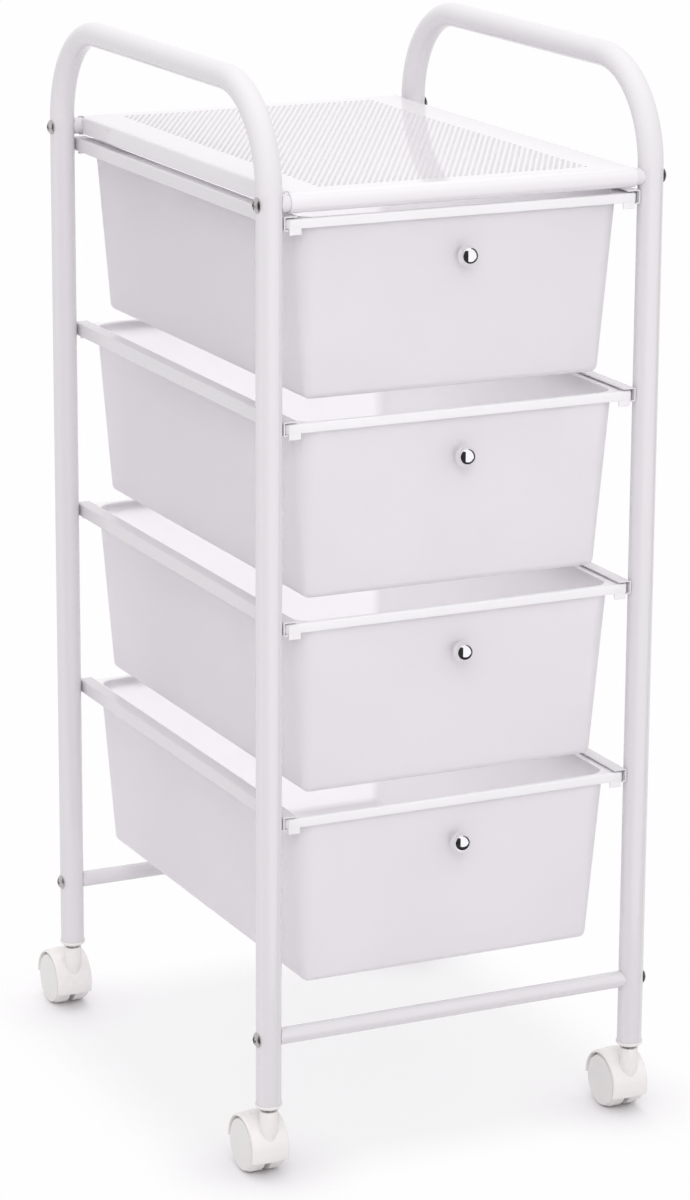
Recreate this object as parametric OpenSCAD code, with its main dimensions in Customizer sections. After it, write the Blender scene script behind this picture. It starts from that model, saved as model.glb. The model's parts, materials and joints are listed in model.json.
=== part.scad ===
// Four-drawer rolling storage cart: bent steel tube frame, perforated shelf,
// hanging plastic drawers on folded runners, twin-wheel casters.
// Millimetres, +Z up. X runs left to right, the drawers open towards -Y.

/* [Frame] */
// Distance between the left and right leg axes
frame_w = 305; // [260:1:420]
// Distance between the front and rear leg axes
frame_d = 388; // [300:1:520]
// Outer diameter of the frame tube
tube_d = 19; // [16:0.5:25]
// Wall of the frame tube
tube_wall = 1.2; // [0.8:0.1:2]
// Radius of the handle bends, at the tube axis
bend_r = 75; // [50:1:100]
// Height of the handle axis above the upper cross rails
handle_rise = 80; // [60:1:140]
// Height of the lower cross rails above the ends of the legs
base_rail_rise = 51; // [42:1:90]

/* [Cross rails] */
// Outer diameter of the cross rails
rail_d = 12.7; // [11:0.1:15]
// Wall of the cross rails
rail_wall = 1; // [0.7:0.1:1.3]
// Diameter of the frame screws
screw_d = 5; // [4:0.1:6]
// Diameter of the screw heads
head_d = 11.5; // [9:0.1:13]
// Height of the domed screw heads
head_h = 2.8; // [2:0.1:3.5]
// Length of the threaded inserts in the rail ends
insert_l = 14; // [8:1:24]

/* [Shelf] */
// Sheet thickness of the shelf
sheet_t = 0.8; // [0.6:0.1:1.5]
// Depth of the turned-down side flanges
flange_h = 13; // [9:0.5:14]
// Space between the inner face of a leg and the side flange
flange_inset = 5; // [3:0.5:12]
// Inside radius of the side folds
fold_r = 1.2; // [0.8:0.1:2]
// Distance between neighbouring holes of the shelf
hole_pitch = 9.7; // [8:0.1:20]
// Diameter of the shelf holes
hole_d = 6; // [2:0.1:7]
// Plain margin beside the holes, left and right
side_margin = 29.5; // [8:0.5:60]
// Plain margin of the holes to the front and rear rails
end_margin = 12; // [9:0.5:60]

/* [Runners] */
// Sheet thickness of the runners
runner_t = 1; // [0.8:0.1:1.5]
// Width of the upper flange of a runner
runner_flange = 10.5; // [9.5:0.5:14]
// Width of the lower lip that carries the drawer
runner_lip = 3.4; // [3.2:0.1:4.4]
// Space between leg and runner, bridged by the weld studs
runner_gap = 0.5; // [0.3:0.1:1.5]
// Diameter of the weld studs
stud_d = 5; // [3:0.5:7]
// How far a runner passes the leg axes, front and rear
runner_overrun = 3.5; // [3:0.5:12]
// Distance from the upper rail axis down to the first runner
first_drop = 9; // [9:0.1:30]

/* [Drawers] */
// Height of a drawer
drawer_h = 134; // [80:1:180]
// Free height between a drawer and the rim of the next one
drawer_gap = 13; // [6:0.5:40]
// Free height between the lowest drawer and the lower cross rails
base_gap = 27.4; // [10:0.1:80]
// Wall of the drawers
wall_t = 1.8; // [1.4:0.1:2]
// Height of the turned-down drawer rim
rim_h = 7; // [5:0.5:12]
// How much each drawer wall leans in from rim to floor
taper = 10.5; // [4:0.5:18]
// Side play between a drawer rim and its runner
rim_side_gap = 0.8; // [0.4:0.1:1]
// Play above the drawer rim inside the runner
rim_head_gap = 1.2; // [0.6:0.1:3]
// Distance from the front leg axes forward to the rim face
rim_front = 3.5; // [1:0.5:9]
// Setback of the front and rear walls behind the rim face
rim_step = 3; // [2:0.5:8]
// Space between the runner flange and the drawer wall
body_clear = 2.2; // [2:0.1:12]
// Upright corner radius of the drawer at the rim
corner_r = 16; // [12:1:30]
// Radius of the drawer's lower edges and corners
floor_r = 6; // [5:1:14]
// Width of the guide lugs under the rim corners
lug_w = 9.5; // [6:0.5:12]
// Depth of the guide lugs below the rim
lug_h = 4.5; // [3:0.5:8]

/* [Knobs] */
// Diameter of the knob
knob_d = 15.5; // [12:0.5:24]
// Diameter of the knob's neck
neck_d = 8; // [7:0.5:11]
// Length of the knob's neck
neck_l = 3; // [2:0.5:8]
// Distance from the drawer rim down to the knob
knob_drop = 34; // [20:1:60]
// Diameter of the knob screws
knob_screw_d = 3.5; // [3:0.1:4]

/* [Casters] */
// Diameter of the wheels
wheel_d = 42; // [38:1:50]
// Width of one wheel
wheel_w = 12.5; // [9:0.5:18]
// Thickness of the web between the two wheels
web_t = 4.4; // [3:0.2:8]
// Horizontal distance from the swivel axis back to the axle
trail = 18.5; // [16:0.5:22]
// Wall of the wheel hood
hood_wall = 1.5; // [1.2:0.1:2.5]
// Space between the wheel and the hood
hood_gap = 0.9; // [0.6:0.1:2]
// Crown of the hood over its ends
hood_crown = 1.2; // [0.4:0.1:2.5]
// Chamfer of the hood's rims
hood_edge = 0.8; // [0.4:0.1:1.1]
// How far below the axle the front of the hood reaches, as an angle
skirt_angle = 20; // [5:1:40]
// Diameter of the hood's swivel column
column_d = 13.5; // [12.5:0.5:16]
// Height of the column's top above the axle
column_rise = 32; // [28:0.5:45]
// Diameter of the caster stem
stem_d = 9; // [6:0.5:9.5]
// Free height of the stem between column and collar
stem_gap = 3; // [1.5:0.5:8]
// Length of the socket inside the leg
socket_l = 30; // [18:1:34]
// Thickness of the socket's collar
collar_t = 3; // [1.5:0.5:5]
// How far the collar stands out past the tube
collar_lip = 0.7; // [0:0.1:2]
// Diameter of the axle
axle_d = 5; // [4:0.5:8]

/* [Hidden] */
$fn = 64;

// Clearances
fit_gap = 0.2;      // between fixed pieces that bear on each other
running_gap = 0.08; // between a pin and the bore that turns on it
seat_gap = 0.3;     // between a drawer rim and the runner lip under it
cut = 1;            // how far a cutting solid passes the face that it cuts

// Colours
powder_coat = [0.93, 0.93, 0.94];
frosted = [0.9, 0.91, 0.91];
cream = [0.93, 0.92, 0.88];
steel = [0.62, 0.61, 0.59];
chrome = [0.78, 0.78, 0.8];

// Positions across and along
tube_r = tube_d / 2;
rail_r = rail_d / 2;
leg_x = frame_w / 2;
leg_y = frame_d / 2;
hood_r = wheel_d / 2 + hood_gap + hood_wall;
pair_w = web_t + 2 * fit_gap + 2 * wheel_w;
runner_x = leg_x - tube_r - runner_gap;
flange_x = leg_x - tube_r - flange_inset;
rim_x = runner_x - runner_t - rim_side_gap;
rim_y = leg_y + rim_front;
body_x = runner_x - runner_flange - body_clear;
body_y = rim_y - rim_step;

// Heights, from the floor up
axle_z = wheel_d / 2;
column_z = axle_z + column_rise;
seat_z = axle_z + sqrt(pow(hood_r - hood_wall, 2) - pow(trail - stem_d / 2, 2)) + hood_wall;
leg_end_z = column_z + stem_gap + collar_t;
base_rail_z = leg_end_z + base_rail_rise;
levels = 4;
drawer_pitch = drawer_h + drawer_gap;
lowest_rim_z = base_rail_z + rail_r + base_gap + drawer_h;
runner_h = rim_h + seat_gap + rim_head_gap + 2 * runner_t;
runner_above_rim = rim_head_gap + runner_t;
top_rail_z = lowest_rim_z + (levels - 1) * drawer_pitch + runner_above_rim + first_drop;
shelf_z = top_rail_z + rail_r + fit_gap + sheet_t;
handle_z = top_rail_z + handle_rise;
arch_z = handle_z - bend_r;
function rim_z(level) = lowest_rim_z + (levels - level) * drawer_pitch;

// Lean of the drawer walls and the place of the knob on the front wall
wall_in = taper + floor_r;
wall_down = drawer_h - wall_t - floor_r;
lean = atan(wall_in / wall_down) - asin(floor_r / sqrt(wall_in * wall_in + wall_down * wall_down));
knob_wall_y = body_y - (knob_drop - wall_t) * tan(lean);
knob_out = neck_l + knob_d / 2;
knob_tip = knob_wall_y + knob_out * cos(lean) + knob_d / 2;
rear_tip = leg_y + trail + hood_r + hood_crown;

// The model's origin lies under the middle of its own box
shift_y = (knob_tip - rear_tip) / 2;
module placed() {
  translate([0, shift_y, 0]) children();
}

// Axis along X, from x = 0 towards +X
module bar_x(r, l) {
  rotate([0, 90, 0]) cylinder(r = r, h = l);
}

module rounded_rect(w, d, r) {
  square([w, d - 2 * r], center = true);
  square([w - 2 * r, d], center = true);
  for (sx = [-1, 1], sy = [-1, 1])
    translate([sx * (w / 2 - r), sy * (d / 2 - r)]) circle(r = r);
}

// The path of one bent side tube, swept by a circle of radius r
module frame_path(r, below) {
  for (s = [-1, 1]) {
    translate([0, s * leg_y, leg_end_z - below])
      cylinder(r = r, h = arch_z - leg_end_z + below);
    translate([0, s * (leg_y - bend_r), arch_z]) rotate([90, 0, 90])
      rotate(s > 0 ? 0 : 90)
        rotate_extrude(angle = 90) translate([bend_r, 0]) circle(r = r);
  }
  translate([0, bend_r - leg_y, handle_z]) rotate([-90, 0, 0])
    cylinder(r = r, h = 2 * (leg_y - bend_r));
}

module side_frame(side) {
  color(powder_coat) placed() difference() {
    translate([side * leg_x, 0, 0]) difference() {
      frame_path(tube_r, 0);
      frame_path(tube_r - tube_wall, cut);
    }
    for (sy = [-1, 1], z = [base_rail_z, top_rail_z])
      translate([side * leg_x - tube_d, sy * leg_y, z])
        bar_x(screw_d / 2 + fit_gap, 2 * tube_d);
  }
}

// Room for the legs, cut from what ends against them
module leg_clearance(sy) {
  for (sx = [-1, 1])
    translate([sx * leg_x, sy * leg_y, leg_end_z])
      cylinder(r = tube_r + fit_gap, h = handle_z - leg_end_z);
}

module cross_rail(sy, z) {
  color(powder_coat) placed() difference() {
    translate([-leg_x, sy * leg_y, z]) difference() {
      bar_x(rail_r, frame_w);
      translate([-cut, 0, 0]) bar_x(rail_r - rail_wall, frame_w + 2 * cut);
    }
    leg_clearance(sy);
  }
}

// Section of the sheet rolled round a rail, at the front
module roll_section() {
  inner = rail_r + fit_gap;
  outer = inner + sheet_t;
  difference() {
    circle(r = outer);
    circle(r = inner);
    polygon([[0, 0], [0, 2 * outer], [2 * outer, 2 * outer], [2 * outer, -outer]]);
  }
}

module rolled_edge(sy) {
  translate([-flange_x, sy * leg_y, top_rail_z]) mirror([0, sy > 0 ? 1 : 0, 0])
    rotate([90, 0, 90]) linear_extrude(2 * flange_x) roll_section();
}

// Flat of the shelf with its staggered holes
module perforated_flat() {
  w = 2 * (flange_x - sheet_t - fold_r);
  d = frame_d;
  row_step = hole_pitch * sin(60);
  columns = floor((2 * (flange_x - side_margin) - hole_d) / hole_pitch);
  rows = floor((d - 2 * end_margin - hole_d) / (2 * row_step)) * 2;
  difference() {
    square([w, d], center = true);
    for (j = [-rows / 2 : rows / 2], i = [0 : columns])
      if (j % 2 == 0 || i < columns)
        translate([(i - columns / 2 + (j % 2 == 0 ? 0 : 0.5)) * hole_pitch, j * row_step])
          circle(d = hole_d, $fn = 24);
  }
}

// Section of a side flange with its fold, at the right-hand side
module flange_section() {
  outer = fold_r + sheet_t;
  translate([flange_x - outer, shelf_z - outer]) intersection() {
    difference() {
      circle(r = outer);
      circle(r = fold_r);
    }
    square(outer);
  }
  translate([flange_x - sheet_t, shelf_z - flange_h]) square([sheet_t, flange_h - outer]);
}

module shelf_panel() {
  color(powder_coat) placed() {
    translate([0, 0, shelf_z - sheet_t]) linear_extrude(sheet_t) perforated_flat();
    difference() {
      for (sx = [0, 1]) mirror([sx, 0, 0])
        translate([0, leg_y, 0]) rotate([90, 0, 0]) linear_extrude(frame_d) flange_section();
      for (sy = [-1, 1]) translate([-leg_x, sy * leg_y, top_rail_z])
        bar_x(rail_r + fit_gap + sheet_t / 2, frame_w);
    }
    for (sy = [-1, 1]) rolled_edge(sy);
  }
}

// A domed screw along X: the underside of its head at x = 0, its shank towards -X
module frame_screw() {
  dome_r = (head_d * head_d / 4 + head_h * head_h) / (2 * head_h);
  slot_w = head_d * 0.16;
  slot_l = head_d * 0.5;
  difference() {
    rotate([0, 90, 0]) rotate_extrude() intersection() {
      translate([0, head_h - dome_r]) circle(r = dome_r);
      square([head_d / 2, head_h]);
    }
    for (a = [0, 90]) rotate([a, 0, 0]) translate([head_h / 2, -slot_l / 2, -slot_w / 2])
      cube([head_h, slot_l, slot_w]);
  }
  translate([-tube_d - insert_l, 0, 0]) bar_x(screw_d / 2, tube_d + insert_l + head_h / 4);
}

module at_rail_ends() {
  for (sx = [0, 1], sy = [-1, 1], z = [base_rail_z, top_rail_z])
    mirror([sx, 0, 0]) translate([leg_x, sy * leg_y, z]) children();
}

module frame_screws() {
  color(steel) placed() at_rail_ends() translate([tube_r, 0, 0]) frame_screw();
}

module rail_inserts() {
  color(steel) placed() at_rail_ends() translate([-tube_r - insert_l - fit_gap, 0, 0])
    difference() {
      bar_x(rail_r - rail_wall - fit_gap, insert_l);
      translate([-cut, 0, 0]) bar_x(screw_d / 2 + fit_gap, insert_l + 2 * cut);
    }
}

// Folded runner: deep upper flange, short lower lip under the drawer rim
module runner(side, level) {
  bottom = rim_z(level) + runner_above_rim - runner_h;
  length = frame_d + 2 * runner_overrun;
  color(powder_coat) placed() mirror([side > 0 ? 0 : 1, 0, 0]) {
    translate([runner_x, length / 2, bottom]) rotate([90, 0, 0]) linear_extrude(length)
      polygon([
        [0, 0], [-runner_lip, 0], [-runner_lip, runner_t], [-runner_t, runner_t],
        [-runner_t, runner_h - runner_t], [-runner_flange, runner_h - runner_t],
        [-runner_flange, runner_h], [0, runner_h]]);
    for (sy = [-1, 1]) translate([runner_x - runner_t / 2, sy * leg_y, bottom + runner_h / 2])
      bar_x(stud_d / 2, runner_t / 2 + runner_gap - fit_gap / 2);
  }
}

// Tapering tub: the rim's outline above, round corners and edges below
module tub(inset) {
  r = corner_r - inset;
  low_r = floor_r - inset;
  x = body_x - inset;
  y = body_y - inset;
  hull() {
    translate([0, 0, -wall_t]) linear_extrude(wall_t) rounded_rect(2 * x, 2 * y, r, $fn = 32);
    for (sx = [-1, 1], sy = [-1, 1])
      translate([sx * (x - taper - low_r), sy * (y - taper - low_r), inset + low_r - drawer_h])
        sphere(r = low_r, $fn = 32);
  }
}

module drawer_rim() {
  translate([0, 0, -wall_t]) linear_extrude(wall_t) rounded_rect(2 * rim_x, 2 * rim_y, 4);
  translate([0, 0, -rim_h]) linear_extrude(rim_h) difference() {
    rounded_rect(2 * rim_x, 2 * rim_y, 4);
    rounded_rect(2 * (rim_x - wall_t), 2 * (rim_y - wall_t), 4 - wall_t);
  }
  lug_x = runner_x - runner_lip - rim_side_gap;
  for (sx = [-1, 1], sy = [-1, 1]) translate([sx * (lug_x - lug_w / 2), sy * (rim_y - wall_t / 2), 0])
    translate([0, 0, -(rim_h + lug_h) / 2]) cube([lug_w, wall_t, rim_h + lug_h], center = true);
}

// The front wall's frame at the knob: origin on the wall, +Z out of it
module at_knob(level) {
  translate([0, -knob_wall_y, rim_z(level) - knob_drop]) rotate([90 + lean, 0, 0]) children();
}

module drawer(level) {
  color(frosted) placed() difference() {
    translate([0, 0, rim_z(level)]) difference() {
      union() {
        drawer_rim();
        tub(0);
      }
      tub(wall_t);
      translate([0, 0, -wall_t]) linear_extrude(wall_t + cut)
        rounded_rect(2 * (body_x - wall_t), 2 * (body_y - wall_t), corner_r - wall_t);
    }
    at_knob(level) cylinder(r = knob_screw_d / 2 + fit_gap, h = 4 * wall_t, center = true);
  }
}

module knob(level) {
  color(chrome) placed() at_knob(level) difference() {
    union() {
      translate([0, 0, knob_out]) sphere(d = knob_d);
      translate([0, 0, fit_gap / 2]) cylinder(d = neck_d, h = knob_out);
    }
    translate([0, 0, -cut]) cylinder(r = knob_screw_d / 2 + fit_gap, h = knob_out + cut);
  }
}

module knob_screw(level) {
  color(steel) placed() at_knob(level) {
    translate([0, 0, -wall_t - knob_screw_d]) {
      cylinder(d = knob_screw_d, h = wall_t + knob_screw_d + knob_out - fit_gap);
      cylinder(d = 2 * knob_screw_d, h = knob_screw_d - fit_gap);
    }
  }
}

// Corner names: f and r for front and rear, l and r for left and right
module at_caster(sx, sy) {
  placed() translate([sx * leg_x, sy * leg_y, 0]) children();
}

module socket(sx, sy) {
  collar_r = tube_r + collar_lip;
  color(cream) at_caster(sx, sy) difference() {
    union() {
      translate([0, 0, leg_end_z - cut]) cylinder(r = tube_r - tube_wall - fit_gap, h = socket_l + cut);
      translate([0, 0, leg_end_z - fit_gap / 2 - collar_t / 2]) cylinder(r = collar_r, h = collar_t / 2);
      translate([0, 0, leg_end_z - fit_gap / 2 - collar_t])
        cylinder(r1 = collar_r - collar_t / 2, r2 = collar_r, h = collar_t / 2);
    }
    translate([0, 0, leg_end_z - collar_t - cut])
      cylinder(r = stem_d / 2 + running_gap, h = socket_l + collar_t - 1);
  }
}

module stem(sx, sy) {
  color(steel) at_caster(sx, sy) translate([0, 0, seat_z])
    cylinder(d = stem_d, h = leg_end_z + socket_l - 4 - seat_z);
}

// Half section of the hood's outside, radius along x: crowned, with chamfered rims
module hood_section() {
  half = pair_w / 2;
  crown_r = (half * half + hood_crown * hood_crown) / (2 * hood_crown);
  rim = hood_r - hood_edge;
  top = rim + 3 * hood_edge;
  intersection() {
    translate([hood_r + hood_crown - crown_r, 0]) circle(r = crown_r, $fn = 200);
    polygon([[0, -half], [rim, -half], [top, 3 * hood_edge - half],
             [top, half - 3 * hood_edge], [rim, half], [0, half]]);
  }
}

// One moulding: shell over both wheels, the web between them and the swivel column
module hood(sx, sy) {
  well_r = hood_r - hood_wall;
  well_w = pair_w / 2 - web_t / 2 + cut;
  foot_z = axle_z + wheel_d * 0.37;
  color(cream) at_caster(sx, sy) difference() {
    union() {
      translate([0, trail, axle_z]) rotate([0, 90, 0]) rotate_extrude() hood_section();
      translate([0, 0, foot_z]) cylinder(d = column_d, h = column_z - foot_z);
      translate([0, 0, axle_z]) cylinder(d1 = column_d / 4, d2 = column_d, h = foot_z - axle_z);
    }
    for (turn = [0, 1]) mirror([turn, 0, 0]) translate([web_t / 2, trail, axle_z])
      bar_x(well_r, well_w);
    translate([-pair_w / 2 - cut, trail + hood_r, axle_z]) rotate([skirt_angle / 2, 0, 0])
      translate([0, -3 * hood_r, -2 * hood_r]) cube([pair_w + 2 * cut, 4 * hood_r, 2 * hood_r]);
    translate([0, 0, seat_z - fit_gap]) cylinder(r = stem_d / 2 + fit_gap / 2, h = column_z);
    translate([-web_t, trail, axle_z]) bar_x(axle_d / 2 + fit_gap / 2, 2 * web_t);
  }
}

module axle(sx, sy) {
  reach = web_t / 2 + fit_gap + wheel_w * 0.7;
  color(steel) at_caster(sx, sy) translate([-reach, trail, axle_z]) bar_x(axle_d / 2, 2 * reach);
}

// One wheel: blind bore towards the web, shallow dish in the outer face
module wheel(sx, sy, side) {
  rim_round = 1.4;
  dish_r = wheel_d / 2 - 2.4;
  r = wheel_d / 2;
  bore_r = axle_d / 2 + running_gap;
  color(cream) at_caster(sx, sy) translate([0, trail, axle_z]) mirror([side > 0 ? 0 : 1, 0, 0])
    translate([web_t / 2 + fit_gap, 0, 0]) difference() {
      rotate([0, 90, 0]) rotate_extrude() {
        square([r - rim_round, wheel_w]);
        square([r, wheel_w - rim_round]);
        translate([r - rim_round, wheel_w - rim_round]) circle(r = rim_round);
      }
      translate([wheel_w - 0.7, 0, 0]) bar_x(dish_r, cut + 0.7);
      translate([-cut, 0, 0]) bar_x(bore_r, wheel_w * 0.75 + cut);
    }
}

side_frame(-1);  // side_frame_left
side_frame(1);  // side_frame_right
cross_rail(-1, top_rail_z);  // shelf_front_rail
cross_rail(1, top_rail_z);  // shelf_rear_rail
cross_rail(-1, base_rail_z);  // base_front_rail
cross_rail(1, base_rail_z);  // base_rear_rail
shelf_panel();
frame_screws();
rail_inserts();
runner(-1, 1);  // runner_left_1
runner(-1, 2);  // runner_left_2
runner(-1, 3);  // runner_left_3
runner(-1, 4);  // runner_left_4
runner(1, 1);  // runner_right_1
runner(1, 2);  // runner_right_2
runner(1, 3);  // runner_right_3
runner(1, 4);  // runner_right_4
drawer(1);  // drawer_1
drawer(2);  // drawer_2
drawer(3);  // drawer_3
drawer(4);  // drawer_4
knob(1);  // knob_1
knob(2);  // knob_2
knob(3);  // knob_3
knob(4);  // knob_4
knob_screw(1);  // knob_screw_1
knob_screw(2);  // knob_screw_2
knob_screw(3);  // knob_screw_3
knob_screw(4);  // knob_screw_4
socket(-1, -1);  // socket_fl
socket(1, -1);  // socket_fr
socket(-1, 1);  // socket_rl
socket(1, 1);  // socket_rr
stem(-1, -1);  // stem_fl
stem(1, -1);  // stem_fr
stem(-1, 1);  // stem_rl
stem(1, 1);  // stem_rr
hood(-1, -1);  // hood_fl
hood(1, -1);  // hood_fr
hood(-1, 1);  // hood_rl
hood(1, 1);  // hood_rr
axle(-1, -1);  // axle_fl
axle(1, -1);  // axle_fr
axle(-1, 1);  // axle_rl
axle(1, 1);  // axle_rr
wheel(-1, -1, -1);  // wheel_fl_left
wheel(-1, -1, 1);  // wheel_fl_right
wheel(1, -1, -1);  // wheel_fr_left
wheel(1, -1, 1);  // wheel_fr_right
wheel(-1, 1, -1);  // wheel_rl_left
wheel(-1, 1, 1);  // wheel_rl_right
wheel(1, 1, -1);  // wheel_rr_left
wheel(1, 1, 1);  // wheel_rr_right
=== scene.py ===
# %% [markdown]
# A white storage cart on four casters. Two bent tubes make the sides and the push handles, a
# perforated sheet is the shelf, and four frosted drawers hang on folded runners. The measured model
# comes first. It fixes where every piece is, and the cells below only give it its surfaces.

# %% Load the measured model
import json
import math

import bmesh
import bpy
import numpy as np
from mathutils import Matrix, Vector


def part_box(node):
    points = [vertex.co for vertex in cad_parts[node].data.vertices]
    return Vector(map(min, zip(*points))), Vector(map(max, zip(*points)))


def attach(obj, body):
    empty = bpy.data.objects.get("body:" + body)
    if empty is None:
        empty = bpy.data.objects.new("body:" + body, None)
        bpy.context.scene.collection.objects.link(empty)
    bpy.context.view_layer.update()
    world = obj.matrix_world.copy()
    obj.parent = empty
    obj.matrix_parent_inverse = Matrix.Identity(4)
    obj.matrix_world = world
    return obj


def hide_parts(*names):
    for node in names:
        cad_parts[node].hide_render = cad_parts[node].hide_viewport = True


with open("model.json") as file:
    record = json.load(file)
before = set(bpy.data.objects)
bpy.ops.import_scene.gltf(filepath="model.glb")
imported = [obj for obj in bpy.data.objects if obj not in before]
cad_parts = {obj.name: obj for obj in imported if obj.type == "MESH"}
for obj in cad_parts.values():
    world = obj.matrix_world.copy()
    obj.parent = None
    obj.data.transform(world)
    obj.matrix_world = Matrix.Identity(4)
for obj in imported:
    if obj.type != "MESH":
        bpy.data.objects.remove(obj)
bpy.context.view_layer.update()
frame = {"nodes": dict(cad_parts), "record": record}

nodes = frame["nodes"]

# %% [markdown]
# The pieces are drawn in millimetres from the middle between the four legs, so the numbers can be
# read off a tape. Where a part of the measured model shows a size, the size is read from its box.

# %% Measures in millimetres
MID_Y = (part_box("side_frame_left")[0].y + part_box("side_frame_left")[1].y) / 2


def place(points):
    """Millimetres from the middle between the legs to metres in the model's frame."""
    return np.asarray(points, float) * 0.001 + np.array([0, MID_Y, 0])


def measure(node):
    """The lowest and highest corner of a node in those millimetres."""
    return [(np.array(corner) - [0, MID_Y, 0]) * 1000 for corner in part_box(node)]


tube_low, tube_high = measure("side_frame_right")
TUBE_R, TUBE_WALL, BEND_R, RAIL_R = 9.5, 1.2, 75.0, 6.35
LEG_X, LEG_Y = tube_low[0] + TUBE_R, tube_high[1] - TUBE_R
TUBE_END_Z, HANDLE_Z = tube_low[2], tube_high[2] - TUBE_R
RAIL_Z = measure("shelf_front_rail")[1][2] - RAIL_R
SHELF_X, SHELF_Z = measure("shelf_panel")[1][[0, 2]]
RIM_Z = [measure(f"drawer_{level}")[1][2] for level in (1, 2, 3, 4)]     # from the top drawer down
print("legs at", np.round([LEG_X, LEG_Y], 2), "shelf at", round(SHELF_Z, 2),
      "rims at", np.round(RIM_Z, 2))

# %% [markdown]
# Nearly every shape here is a grid of points: one direction runs along the piece, the other round it.
# Neighbours on the grid are joined by four-sided faces, and an open end gets one flat lid, so each
# shell is closed. The sign of a shell's volume tells which way its faces look, and a shell that
# comes out negative is turned inside out before it is used.

# %% From a grid of points to a finished piece
def shell(grid, wrap_u=False, wrap_v=True):
    """A grid P[u, v] of points as (points, faces). wrap_u and wrap_v say which directions close."""
    nu, nv = grid.shape[:2]
    index = np.arange(nu * nv).reshape(nu, nv)
    lids = [] if wrap_u else [index[0].tolist(), index[-1][::-1].tolist()]
    if wrap_u:
        index = np.vstack([index, index[:1]])
    if wrap_v:
        index = np.hstack([index, index[:, :1]])
    quads = np.stack([index[:-1, :-1], index[1:, :-1], index[1:, 1:], index[:-1, 1:]], -1)
    points = grid.reshape(-1, 3)
    corners = points[quads.reshape(-1, 4)]
    first, second, third, fourth = corners.transpose(1, 0, 2)
    volume = (np.cross(first, second) * third).sum() + (np.cross(first, third) * fourth).sum()
    for lid in lids:
        ring = points[lid]
        volume += (np.cross(ring[0], ring[1:-1]) * ring[2:]).sum()
    faces = quads.reshape(-1, 4).tolist() + lids
    return points, [face[::-1] for face in faces] if volume < 0 else faces


CREASE = math.radians(35)                      # an edge that turns more than this stays sharp


def piece(name, shells, made_of, body, stands_for=()):
    """Shells in millimetres become one smooth-shaded piece that rides on a body of the model. The
    points of all shells follow each other, and each face's numbers are moved on by the points
    before it."""
    start = np.cumsum([0] + [len(points) for points, _ in shells[:-1]])
    faces = [[i + offset for i in face] for offset, (_, part) in zip(start, shells) for face in part]
    mesh = bpy.data.meshes.new(name)
    mesh.from_pydata(place(np.concatenate([points for points, _ in shells])), [], faces)
    mesh.shade_smooth()
    mesh.set_sharp_from_angle(angle=CREASE)
    mesh.materials.append(made_of)
    made = bpy.data.objects.new(name, mesh)
    bpy.context.scene.collection.objects.link(made)
    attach(made, body)
    if stands_for:
        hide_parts(*stands_for)
    return made


print("edges over", round(math.degrees(CREASE)), "degrees stay sharp")

# %% [markdown]
# The photograph was taken from the cart's front left, a little above it, with a long lens. The
# camera was fitted to the legs, rails and screws, so its place is in the same millimetres.

# %% Camera
camera_data = bpy.data.cameras.new("camera")
camera = bpy.data.objects.new("camera", camera_data)
bpy.context.scene.collection.objects.link(camera)
bpy.context.scene.camera = camera
YAW, DOWN, ROLL = np.radians([25.608, 15.282, 0.309])
STANDS_AT = [-1334.72, -2786.55, 1223.0]
SENSOR, FOCAL_PIXELS, FRAME_PIXELS = 36.0, 4131.0, 1200.0     # the longer side of the picture
ahead = np.array([math.sin(YAW) * math.cos(DOWN), math.cos(YAW) * math.cos(DOWN), -math.sin(DOWN)])
flat = np.array([math.cos(YAW), -math.sin(YAW), 0])
above = np.cross(flat, ahead)
right = math.cos(ROLL) * flat + math.sin(ROLL) * above
up = math.cos(ROLL) * above - math.sin(ROLL) * flat
turn = Matrix(np.column_stack([right, up, -ahead]).tolist()).to_4x4()
camera.matrix_world = Matrix.Translation(place(STANDS_AT)) @ turn
camera_data.sensor_width = SENSOR
camera_data.lens = SENSOR * FOCAL_PIXELS / FRAME_PIXELS
camera_data.clip_end = 100.0
bpy.context.scene.view_settings.view_transform = "Standard"
print("lens", round(camera_data.lens, 1), "mm")

# %% [markdown]
# Finishes. A powder coat is a plastic film baked onto steel: white, glossy, with the faint waviness
# that painters call orange peel. Noise that reads object coordinates lies on a surface in real
# millimetres, so one noise gives each finish its relief and a second, wider one its uneven gloss.

# %% Helpers for finishes
def add_node(made, kind, numbered=(), **sockets):
    """One more shader node, with values for its sockets by place or by name."""
    new = made.node_tree.nodes.new("ShaderNode" + kind)
    for i, value in numbered:
        new.inputs[i].default_value = value
    for key, value in sockets.items():
        new.inputs[key.replace("_", " ")].default_value = value
    return new


def finish(name, color, roughness, metallic=0.0, **sockets):
    """A material with one Principled shader whose constant values sit on its own sockets."""
    made = bpy.data.materials.new(name)
    made.use_nodes = True
    shader = made.node_tree.nodes["Principled BSDF"]
    shader.inputs["Base Color"].default_value = (*color, 1)
    shader.inputs["Roughness"].default_value = roughness
    shader.inputs["Metallic"].default_value = metallic
    for key, value in sockets.items():
        shader.inputs[key.replace("_", " ")].default_value = value
    return made


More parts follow.
